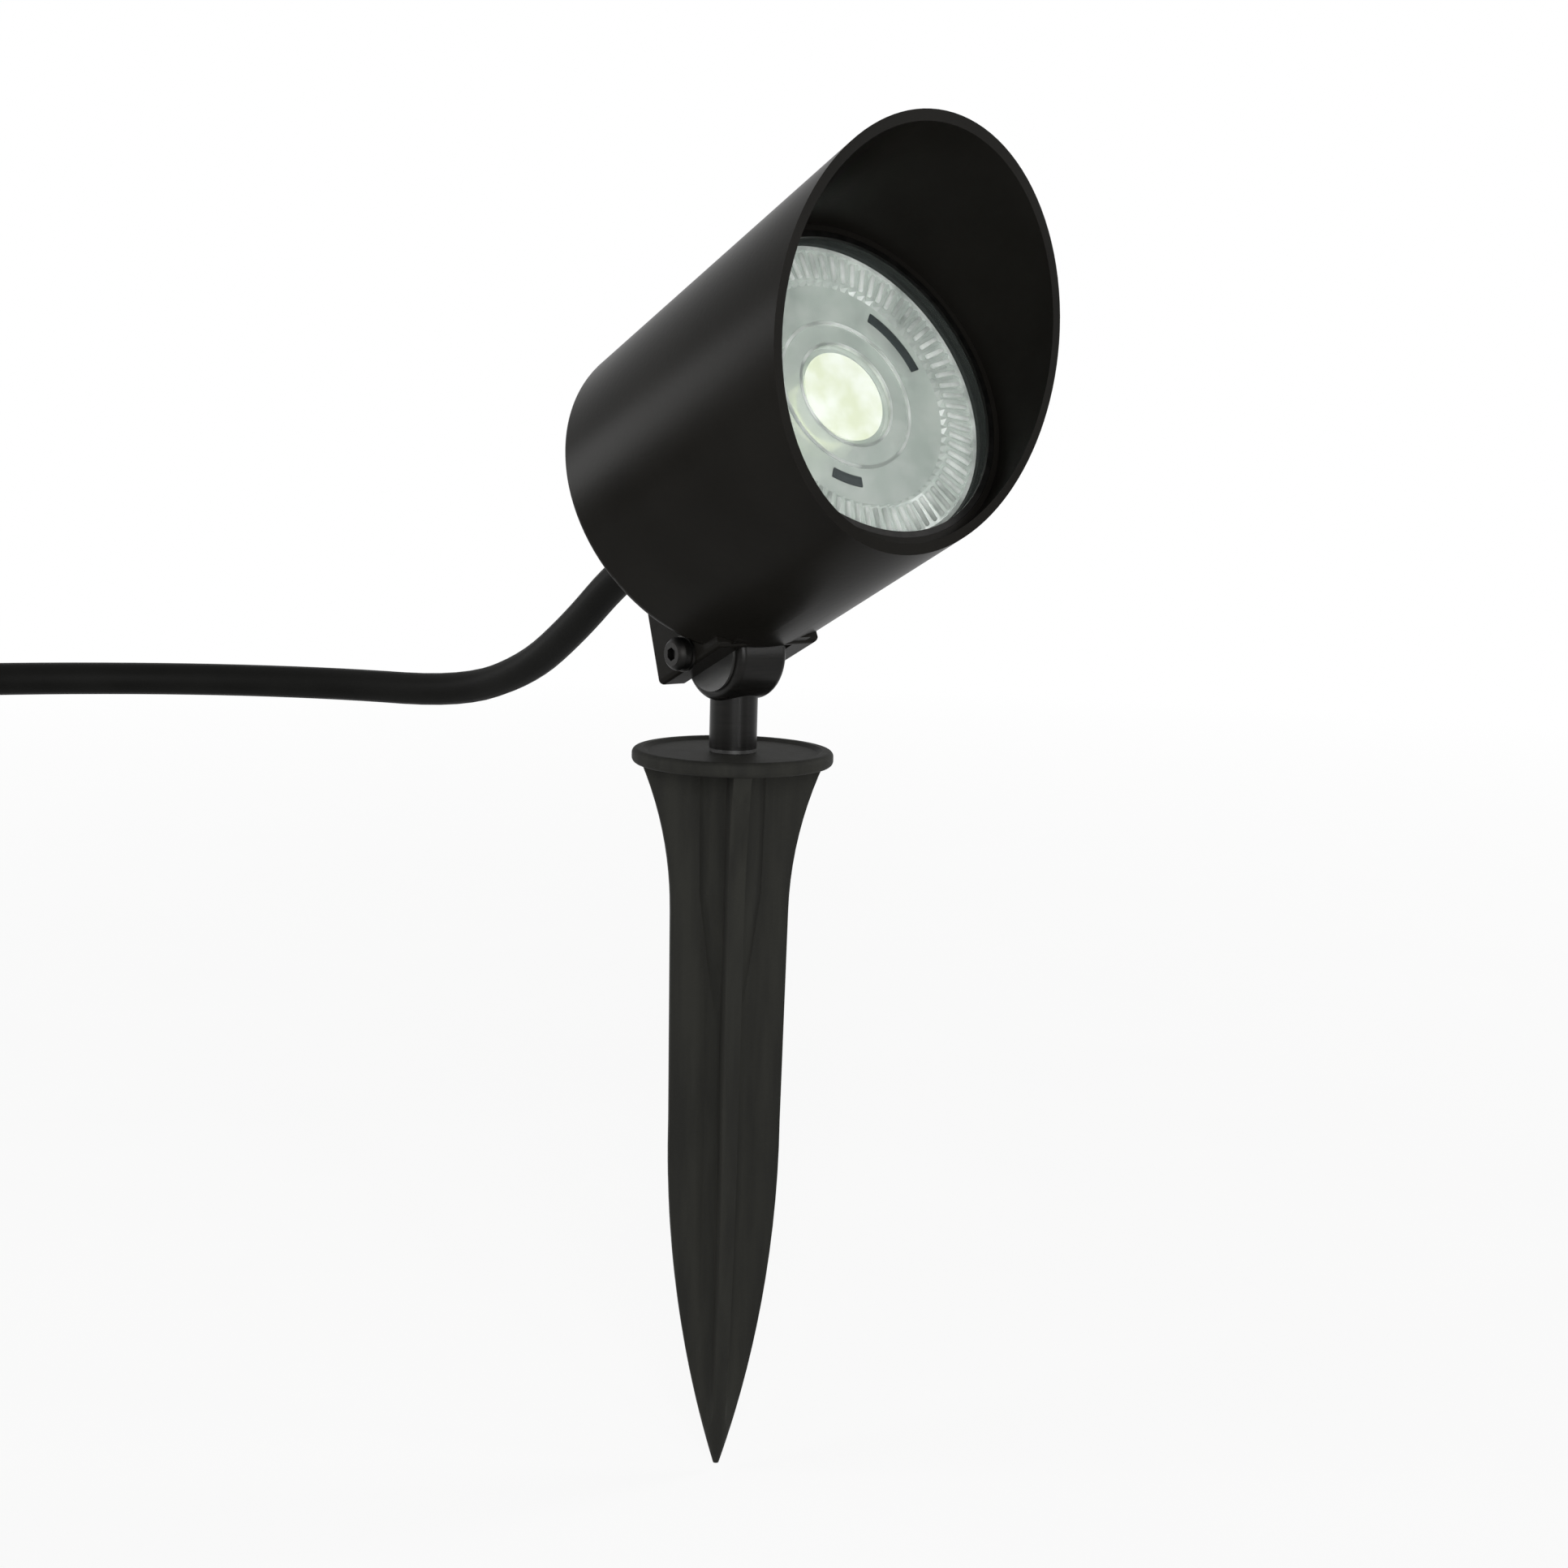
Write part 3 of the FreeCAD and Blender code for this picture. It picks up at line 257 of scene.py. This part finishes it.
def makePhosphor():
    # yellow-green phosphor under clear silicone; its faint emission is a painted glow that brightens it
    material, tree, shader = startMaterial(
        "siliconedPhosphor", Roughness=0.25, Emission_Color=hexColour("#f4f7d2"), Emission_Strength=0.75)
    point = objectPoint(tree)
    colourDrift(tree, shader, point, 1.2, "#e9edbb", "#f6f7d6")
    return material


finishes = {
    # polyester powder coat on cast aluminium: fine orange peel, satin, very slightly warm black,
    # with the peel drawn a little coarser than the real 0.5 mm
    "powder": makePlain(
        "powderCoatedAluminium", "#12110f", "#161513", 22.0, (0.28, 0.36), 0.9, 0.012,
        Specular_IOR_Level=0.03),
    "paintedSteel": makePaintedSteel(),
    "spikeNylon": makeSpikeNylon(),
    # moulded black nylon, as on glands, plugs and ties: fine spark-eroded texture
    "blackNylon": makePlain(
        "mouldedBlackNylon", "#0f0f0e", "#141413", 9.0, (0.42, 0.55), 0.5, 0.012, Specular_IOR_Level=0.1),
    # extruded chloroprene sheath: dull black, slightly uneven
    "sheath": makePlain(
        "extrudedRubberSheath", "#0e0e0d", "#131312", 14.0, (0.48, 0.62), 0.7, 0.01, Specular_IOR_Level=0.04),
    # moulded silicone and EPDM seals: the dullest of the blacks
    "seal": makePlain(
        "mouldedSealRubber", "#101010", "#161616", 5.0, (0.55, 0.7), 0.8, 0.008, Specular_IOR_Level=0.1),
    # painted shade for the bowl's openings
    "slotShade": makeSlotShade(),
    # black zinc plate on steel fasteners: dark and dull, faintly metallic on its grain
    "zinc": makePlain(
        "blackZincPlatedSteel", "#161615", "#201f1e", 1.6, (0.4, 0.55), 0.5, 0.006, Metallic=0.9),
    "glass": makeGlass(),
    "acrylic": makeAcrylic(),
    # painted highlights: white, glowing acrylic for the lens's rings and prism crests
    "ring": makeAcrylicPaintedHighlight(),
    # painted glow on the collimator over the LED
    "collimator": makeCollimatorPaintedGlow(),
    # vacuum-metallised plastic behind the lens: soft silver with a green cast from the lens above it
    "reflector": makePlain(
        "vacuumMetallisedReflector", "#9aa39d", "#d9dfda", 4.5, (0.22, 0.42), 1.4, 0.05, Metallic=0.75),
    "phosphor": makePhosphor(),
    # white polycarbonate that carries heat away from the LED
    "whitePlastic": makePlain(
        "mouldedWhitePolycarbonate", "#c9ccc8", "#d6d8d4", 8.0, (0.4, 0.5), 0.7, 0.01),
    # solder mask over an aluminium-cored board
    "board": makePlain("whiteSolderMask", "#d4d9d2", "#e2e6e0", 5.0, (0.3, 0.4), 0.8, 0.005),
    # pressed steatite, slightly chalky
    "ceramic": makePlain("pressedSteatite", "#cdc9be", "#dad6cc", 3.0, (0.6, 0.75), 0.5, 0.02),
    # nickel-plated brass contacts
    "brass": makePlain(
        "platedBrassPins", "#b9a878", "#cfc195", 2.0, (0.22, 0.34), 0.6, 0.004, Metallic=1.0),
    # bare stranded copper
    "copper": makePlain(
        "strandedCopper", "#a4623a", "#bd7a4c", 1.0, (0.3, 0.42), 0.4, 0.02, Metallic=1.0),
    # natural dark acetal washers
    "acetal": makePlain("turnedAcetal", "#242423", "#2c2c2b", 4.0, (0.3, 0.42), 0.6, 0.006),
}

nodeFinish = {
    "housing": "powder", "spike": "spikeNylon", "thrust_washer": "acetal", "stem": "paintedSteel",
    "stem_friction_ring": "seal", "stem_snap_ring": "zinc", "front_glass": "glass", "lamp_seal": "seal",
    "glass_keeper": "zinc", "lamp_cup": "whitePlastic", "lamp_lens": "acrylic", "led_board": "board",
    "led_chip": "phosphor", "lamp_pins": "brass", "lamp_holder": "ceramic", "gland_body": "blackNylon",
    "gland_seal": "seal", "gland_nut": "blackNylon", "cord_end": "sheath", "cord_cores": "copper",
    "pivot_bolt": "zinc", "pivot_nut": "zinc", "pivot_washers": "zinc", "friction_washers": "acetal",
    "supply_lead": "sheath", "cord_coil": "sheath", "coil_tie": "blackNylon", "connector_grommet": "seal",
    "connector_back_nut": "blackNylon", "connector_shell": "blackNylon", "connector_insert": "blackNylon",
    "connector_contacts": "brass",
}
for name, finish in nodeFinish.items():
    node = cadNodes[name]
    node.data.materials.clear()
    node.data.materials.append(finishes[finish])
print("finishes on", len(nodeFinish), "solids")

# lamp's front: the lens with its prisms, painted highlights on its rings and prism crests, the bowl under it,
# painted shade for the slots in the bowl, and the LED with a painted glow
smoothBelow = math.radians(28)  # edges flatter than this are shaded smooth


def startPiece(name, scale=(1, 1, 1)):  # the new primitive, with its place and scale in its mesh
    piece = bpy.context.object
    piece.name = piece.data.name = name
    piece.scale = scale
    bpy.ops.object.transform_apply(location=True, rotation=True, scale=True)
    return piece


def editWhole():
    bpy.ops.object.mode_set(mode="EDIT")
    bpy.ops.mesh.select_all(action="SELECT")


def faceOutwards():
    bpy.ops.mesh.select_all(action="SELECT")
    bpy.ops.mesh.normals_make_consistent(inside=False)


def extrudeAlong(shift):
    bpy.ops.mesh.extrude_region_move(TRANSFORM_OT_translate={"value": (0, 0, shift)})


def placeOnBeam(piece, finish):  # from millimetres on the beam to metres at the origin
    bpy.ops.object.mode_set(mode="OBJECT")
    piece.matrix_world = beamMatrix(aim["axisOffset"])
    deselectAll()
    piece.select_set(True)
    bpy.context.view_layer.objects.active = piece
    bpy.ops.object.transform_apply(location=True, rotation=True, scale=True)
    bpy.ops.object.shade_smooth_by_angle(angle=smoothBelow)
    piece.data.materials.append(finishes[finish])
    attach(piece, "head")


lensShape = {
    "spokes": 144,  # two to a prism
    "back": 41.0,  # station of the lens's flat back, along the beam
    "radius": 24.95,
    "edge": 2.9,  # up to the rim's face
    "rimLand": 0.5,
    "prismBand": 5.4,
    "prismRise": 1.0,  # from each groove to the next crest
    # inwards and up, in turn, from the prisms to the floor of the well over the LED
    "steps": ((0.5, -0.9), (6.0, -0.25), (0.9, 0.0), (2.7, 0.25), (0.5, -1.5)),
    "well": 8.35,
    "wellRise": 0.2,  # its floor is slightly domed
    "wellRings": 7,
}


def makeLens():
    deselectAll()
    bpy.ops.mesh.primitive_circle_add(
        vertices=lensShape["spokes"], radius=lensShape["radius"], fill_type="NGON",
        location=(0, 0, lensShape["back"]))
    lens = startPiece("lampLens")
    editWhole()
    extrudeAlong(lensShape["edge"])
    for inwards, up in ((lensShape["rimLand"], 0.0), (lensShape["prismBand"], 0.0), *lensShape["steps"]):
        bpy.ops.mesh.inset(thickness=inwards, depth=up)
    ring = lensShape["well"] / lensShape["wellRings"]
    for k in range(1, lensShape["wellRings"]):
        before, now = (k - 1) / lensShape["wellRings"], k / lensShape["wellRings"]
        rise = lensShape["wellRise"] * ((1 - (1 - now) ** 2) - (1 - (1 - before) ** 2))
        bpy.ops.mesh.inset(thickness=ring, depth=rise)
    bpy.ops.mesh.poke()
    bpy.ops.object.mode_set(mode="OBJECT")
    outer = lensShape["radius"] - lensShape["rimLand"]
    inner = outer - lensShape["prismBand"]
    face = lensShape["back"] + lensShape["edge"]
    turn = 2 * math.pi / lensShape["spokes"]
    near = 0.1  # room for rounding where corners are picked by place
    for corner in lens.data.vertices:  # every other spoke of the band is lowered to a groove
        reach = math.hypot(corner.co.x, corner.co.y)
        onBand = inner - near < reach < outer + near and abs(corner.co.z - face) < near
        spoke = round(math.atan2(corner.co.y, corner.co.x) / turn)
        corner.select = onBand and spoke % 2 == 0
    for edge in lens.data.edges:
        edge.select = False
    for side in lens.data.polygons:
        side.select = False
    bpy.ops.object.mode_set(mode="EDIT")
    bpy.ops.mesh.select_mode(type="VERT")
    bpy.ops.transform.translate(value=(0, 0, -lensShape["prismRise"]))
    faceOutwards()
    placeOnBeam(lens, "acrylic")
    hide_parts("lamp_lens")
    print("lens made,", len(lens.data.polygons), "faces")


bowl = {
    "spokes": 96,
    "foot": (7.4, 34.35),  # radius and station
    "mouth": (20.3, 40.8),
    "rings": 9,
    "sag": 1.6,  # how far its side bows out towards the back
    "wall": 0.4,
}


def makeBowl():
    deselectAll()
    (footReach, footStation), (mouthReach, mouthStation) = bowl["foot"], bowl["mouth"]
    bpy.ops.mesh.primitive_circle_add(
        vertices=bowl["spokes"], radius=footReach, fill_type="NOTHING", location=(0, 0, footStation))
    shell = startPiece("reflectorBowl")
    editWhole()
    before = (footReach, footStation)
    for k in range(1, bowl["rings"] + 1):
        part = k / bowl["rings"]
        reach = footReach + (mouthReach - footReach) * part
        station = footStation + (mouthStation - footStation) * part - bowl["sag"] * math.sin(math.pi * part)
        bpy.ops.mesh.extrude_edges_move(TRANSFORM_OT_translate={"value": (0, 0, station - before[1])})
        grow = reach / before[0]
        bpy.ops.transform.resize(value=(grow, grow, 1), center_override=(0, 0, station))
        before = (reach, station)
    faceOutwards()
    bpy.ops.object.mode_set(mode="OBJECT")
    thicken = shell.modifiers.new("wall", "SOLIDIFY")
    thicken.thickness = bowl["wall"]
    thicken.offset = 0
    bpy.ops.object.modifier_apply(modifier="wall")
    placeOnBeam(shell, "reflector")
    print("bowl made,", len(shell.data.polygons), "faces")


slots = {  # dark sheets of painted shade for the bowl's openings, laid in the lens's face as they are seen through it
    "width": 1.7,
    "height": 0.4,
    "station": 42.95,
    "upper": (16.4, math.radians(16), math.radians(56)),  # radius, from, to
    "lower": (15.0, math.radians(241), math.radians(262)),
    "steps": 14,
    "softEdge": 0.12,
}


def makeSlots():
    for name in ("upper", "lower"):
        deselectAll()
        radius, start, end = slots[name]
        bpy.ops.mesh.primitive_plane_add(
            size=1, rotation=(math.pi / 2, 0, end),  # spin turns clockwise here, so it begins at the far end
            location=(radius * math.cos(end), radius * math.sin(end), slots["station"]))
        slot = startPiece(name + "Slot", (slots["width"], slots["height"], 1))
        editWhole()
        bpy.ops.mesh.spin(steps=slots["steps"], angle=end - start, center=(0, 0, 0), axis=(0, 0, 1))
        bpy.ops.mesh.select_all(action="SELECT")
        bpy.ops.mesh.remove_doubles(threshold=0.001)
        faceOutwards()
        bpy.ops.mesh.bevel(offset=slots["softEdge"], segments=2, affect="EDGES")
        placeOnBeam(slot, "slotShade")
        print(slot.name, "made,", len(slot.data.polygons), "faces")


# the lens's rim and two rings, drawn as white, glowing pieces over its steps: painted highlights
rings = {  # each: outer radius, width, station of its face, height
    "spokes": 96,
    "rim": (24.97, 0.62, 43.95, 2.7),
    "middle": (12.5, 0.5, 43.0, 0.5),
    "inner": (8.9, 0.45, 43.0, 0.5),
}


def makeRingHighlights():
    for name in ("rim", "middle", "inner"):
        outer, width, face, height = rings[name]
        deselectAll()
        bpy.ops.mesh.primitive_circle_add(
            vertices=rings["spokes"], radius=outer, fill_type="NGON", location=(0, 0, face))
        ring = startPiece(name + "LensRing")
        editWhole()
        bpy.ops.mesh.inset(thickness=width, depth=0)
        bpy.ops.mesh.delete(type="FACE")
        bpy.ops.mesh.select_all(action="SELECT")
        extrudeAlong(-height)
        faceOutwards()
        placeOnBeam(ring, "ring")
        print(ring.name, "made,", len(ring.data.polygons), "faces")


prismHighlightBars = {  # painted highlights: bright, glowing bars laid on the prisms' crests
    "count": 72,
    "middle": 21.7,  # radius at which their middles lie
    "length": 4.4,
    "width": 0.8,
    "height": 0.6,
    "softEdge": 0.26,
    "station": 43.75,
}


def makePrismHighlightBars():
    deselectAll()
    bpy.ops.mesh.primitive_cube_add(size=1, location=(prismHighlightBars["middle"], 0, prismHighlightBars["station"]))
    bars = startPiece("prismHighlightBars", (prismHighlightBars["length"], prismHighlightBars["width"], prismHighlightBars["height"]))
    editWhole()
    bpy.ops.mesh.bevel(offset=prismHighlightBars["softEdge"], segments=2, affect="EDGES")
    bpy.ops.mesh.select_all(action="SELECT")
    last = 2 * math.pi * (prismHighlightBars["count"] - 1) / prismHighlightBars["count"]
    bpy.ops.mesh.spin(
        steps=prismHighlightBars["count"] - 1, angle=last, dupli=True, center=(0, 0, 0), axis=(0, 0, 1))
    faceOutwards()
    placeOnBeam(bars, "ring")
    print("prism bars made,", len(bars.data.polygons), "faces")


collimator = {
    "foot": (5.0, 36.7),  # radius and station
    "mouth": (7.1, 41.95),
    "spokes": 64,
    "crown": 0.22,
    "crownLand": 0.4,
    "middle": (3.0, 0.03),  # inwards and up
}


def makeLedCollimator():
    deselectAll()
    (footReach, footStation), (mouthReach, mouthStation) = collimator["foot"], collimator["mouth"]
    bpy.ops.mesh.primitive_cone_add(
        vertices=collimator["spokes"], radius1=footReach, radius2=mouthReach,
        depth=mouthStation - footStation, location=(0, 0, (mouthStation + footStation) / 2))
    cone = startPiece("ledCollimator")
    for side in cone.data.polygons:  # only the mouth
        side.select = side.normal.z > 0.9
    for edge in cone.data.edges:
        edge.select = False
    bpy.ops.object.mode_set(mode="EDIT")
    bpy.ops.mesh.select_mode(type="FACE")
    bpy.ops.mesh.inset(thickness=collimator["crownLand"], depth=collimator["crown"])
    inwards, up = collimator["middle"]
    bpy.ops.mesh.inset(thickness=inwards, depth=up)
    placeOnBeam(cone, "collimator")
    print("collimator made,", len(cone.data.polygons), "faces")


ledDome = {
    "radius": 5.6,
    "station": 34.25,  # on the board
    "flatten": 0.4,
    "segments": 48,
    "rings": 24,
}


def makeLedDome():
    deselectAll()
    bpy.ops.mesh.primitive_uv_sphere_add(
        segments=ledDome["segments"], ring_count=ledDome["rings"], radius=ledDome["radius"],
        location=(0, 0, ledDome["station"]))
    dome = startPiece("ledDome")
    editWhole()
    bpy.ops.mesh.bisect(
        plane_co=(0, 0, ledDome["station"]), plane_no=(0, 0, 1), use_fill=True, clear_inner=True)
    bpy.ops.mesh.select_all(action="SELECT")
    bpy.ops.transform.resize(value=(1, 1, ledDome["flatten"]), center_override=(0, 0, ledDome["station"]))
    placeOnBeam(dome, "phosphor")
    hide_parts("led_chip")
    print("LED dome made,", len(dome.data.polygons), "faces")


makeLens()
makeBowl()
makeSlots()
makeRingHighlights()
makePrismHighlightBars()
makeLedDome()
makeLedCollimator()

# supply cord
cord = {
    "radius": 3.1,
    "length": 1.05,
    "exit": (-17.0, -26.0),  # along the beam: out of the gland nut, and on straight to here
    "rise": 24.4,  # gland's axis above the tilt axis
    "coilCentre": (-131.5, 101.0, 4.0),
    "coilRadius": 38.4,
    "leadIn": (18.8, 0, -0.1),  # from the coil's first point back along the lead
    "pitch": 6.7,  # from turn to turn in a layer
    "layer": 6.7,  # from the lower layer to the upper
    "tail": (12, 31.0),  # how far its two points run beyond the coil's middle
    "halfTurns": (0, 1, 2, 3, 4, 5, 3, 2, 1, 0.5),  # how far in each half turn starts, in half pitches
    "climb": 4,  # half turns before it rises to the upper layer
    "perTurn": 16,  # points
    "settled": (0, 0.062, 0.010),  # in metres: from here on it stays with the stem
    "stepsPerPoint": 6,
    "roundness": 4,
}


def cordPoints():
    rest = cord["radius"]
    x, y, z = cord["coilCentre"]
    reach, step = cord["coilRadius"], cord["pitch"] / 2
    onto = Vector((x + 2 * rest, y + reach, z))
    points = [inBeam((0, 0, along), cord["rise"]) / mm for along in cord["exit"]]
    points += [Vector(p) for p in (
        (0, 48, 18.6), (-0.5, 63, 9.2), (-3.5, 82, rest), (-17.5, 105, rest), (-41, 125.5, rest),
        (-73, 138.5, rest + 0.2))]
    points += [onto + Vector(cord["leadIn"]), onto]
    half = cord["perTurn"] // 2
    inner = cord["halfTurns"]
    outwards = 1 / math.cos(math.pi / cord["perTurn"])  # the spline runs inside its points
    count = half * (len(inner) - 2) + half // 2
    for k in range(count + 1):
        turn, part = divmod(k / half, 1)
        turn = int(turn)
        if turn == len(inner) - 2:
            part *= 2
        stepsIn = inner[turn] + (inner[turn + 1] - inner[turn]) * part
        angle = math.pi / 2 + math.pi * k / half
        climbed = min(max(k / half - cord["climb"], 0), 1)
        height = cord["layer"] * climbed * climbed * (3 - 2 * climbed)
        radius = (reach - stepsIn * step) * outwards
        points.append(Vector((x + radius * math.cos(angle), y + radius * math.sin(angle), z + height)))
    west = x - reach + step / 2
    top = z + cord["layer"]
    points += [Vector((west, y - beyond, top)) for beyond in cord["tail"]]
    return [p * mm for p in points]


def makeCord():
    points = cordPoints()
    line = bpy.data.curves.new("supplyCord", "CURVE")
    line.dimensions = "3D"
    line.resolution_u = cord["stepsPerPoint"]
    spline = line.splines.new("NURBS")
    spline.points.add(len(points) - 1)
    for knot, point in zip(spline.points, points):
        knot.co = (*point, 1)
    spline.order_u = 3
    spline.use_endpoint_u = True
    route = bpy.data.objects.new("supplyCordRoute", line)
    bpy.context.scene.collection.objects.link(route)
    bpy.context.view_layer.update()
    centres = [v.co.copy() for v in bpy.data.meshes.new_from_object(route).vertices]
    line.bevel_depth = cord["radius"] * mm
    line.bevel_resolution = cord["roundness"]
    line.use_fill_caps = True
    bpy.context.view_layer.update()
    tube = bpy.data.objects.new("supplyCord", bpy.data.meshes.new_from_object(route))
    bpy.context.scene.collection.objects.link(tube)
    bpy.data.objects.remove(route)
    deselectAll()
    tube.select_set(True)
    bpy.context.view_layer.objects.active = tube
    bpy.ops.object.shade_smooth()
    tube.data.materials.clear()
    tube.data.materials.append(finishes["sheath"])
    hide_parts("supply_lead", "cord_coil")
    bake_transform(tube)
    run = sum((b - a).length for a, b in zip(centres, centres[1:]))
    print(f"cord made, {run:.3f} m long, {len(tube.data.polygons)} faces")


makeCord()

# light, backdrop
studio = {
    "floorDrop": 126.0,  # millimetres down to the paper, just below the spike's point
    "floorSize": 12.0,  # metres
    "fade": (0.25, 1.2),  # metres from the middle over which the paper turns to plain white
    "nearGlow": 0.86,  # the rest is lit paper, which keeps the shadow
    "worldLevel": 0.24,  # white light from all round, as it falls on the object
    "paper": "#ffffff",
    "lookAt": (0, 0, 0.03),
    "lamps": {  # place in metres, size in metres, power in watts
        "leftSoftbox": ((-1.2, 0.5, 0.34), (0.7, 0.7), 8.0),
        "rearStrip": ((-0.62, 1.02, 0.12), (0.45, 0.3), 2.6),
        "frontSoftbox": ((-0.75, -1.2, 0.3), (0.6, 0.6), 13.0),
        "frontStrip": ((-0.2, -1.3, 0.05), (0.12, 0.45), 3.5),
        "sideStrip": ((0.75, -0.97, 0.14), (0.1, 0.3), 1.2),
        "rightSoftbox": ((1.25, -0.45, 0.5), (0.6, 0.6), 7.0),
    },
}


def makeStudio():
    deselectAll()
    bpy.ops.mesh.primitive_plane_add(size=studio["floorSize"], location=(0, 0, -studio["floorDrop"] * mm))
    floor = bpy.context.object
    floor.name = "paperFloor"
    material, tree, shader = startMaterial("whiteBackdropPaper", Roughness=0.9, Specular_IOR_Level=0.1)
    point = objectPoint(tree)
    colourDrift(tree, shader, point, 60.0, "#f2f2f1", "#f6f6f5")
    glow = addNode(tree, "ShaderNodeEmission", {"Color": hexColour(studio["paper"]), "Strength": 1.0})
    reach = addNode(tree, "ShaderNodeVectorMath", {0: point}, operation="LENGTH")
    near, far = studio["fade"]
    fade = addNode(tree, "ShaderNodeMapRange", {
        "Value": reach.outputs["Value"], "From Min": near, "From Max": far,
        "To Min": studio["nearGlow"], "To Max": 1.0})
    share = addNode(
        tree, "ShaderNodeMath", {0: seenDirectly(tree), 1: fade.outputs["Result"]}, operation="MULTIPLY")
    mixed = addNode(
        tree, "ShaderNodeMixShader", {0: share.outputs[0], 1: shader.outputs[0], 2: glow.outputs[0]})
    tree.links.new(mixed.outputs[0], tree.nodes["Material Output"].inputs["Surface"])
    floor.data.materials.append(material)
    world = bpy.data.worlds.new("studioWorld")
    bpy.context.scene.world = world
    world.use_nodes = True
    tree = world.node_tree
    level = addNode(tree, "ShaderNodeMapRange", {
        "Value": seenDirectly(tree), "To Min": studio["worldLevel"], "To Max": 1.0})
    background = tree.nodes["Background"]
    background.inputs["Color"].default_value = hexColour(studio["paper"])
    tree.links.new(level.outputs["Result"], background.inputs["Strength"])
    for name, (place, size, power) in studio["lamps"].items():
        deselectAll()
        bpy.ops.object.light_add(type="AREA", location=place)
        lamp = bpy.context.object
        lamp.name = name
        lamp.data.shape = "RECTANGLE"
        lamp.data.size, lamp.data.size_y = size
        lamp.data.energy = power
        aimAt = Vector(studio["lookAt"]) - Vector(place)
        lamp.rotation_euler = aimAt.to_track_quat("-Z", "Y").to_euler()
    scene = bpy.context.scene
    scene.view_settings.view_transform = "Standard"
    print("studio lit")


makeStudio()
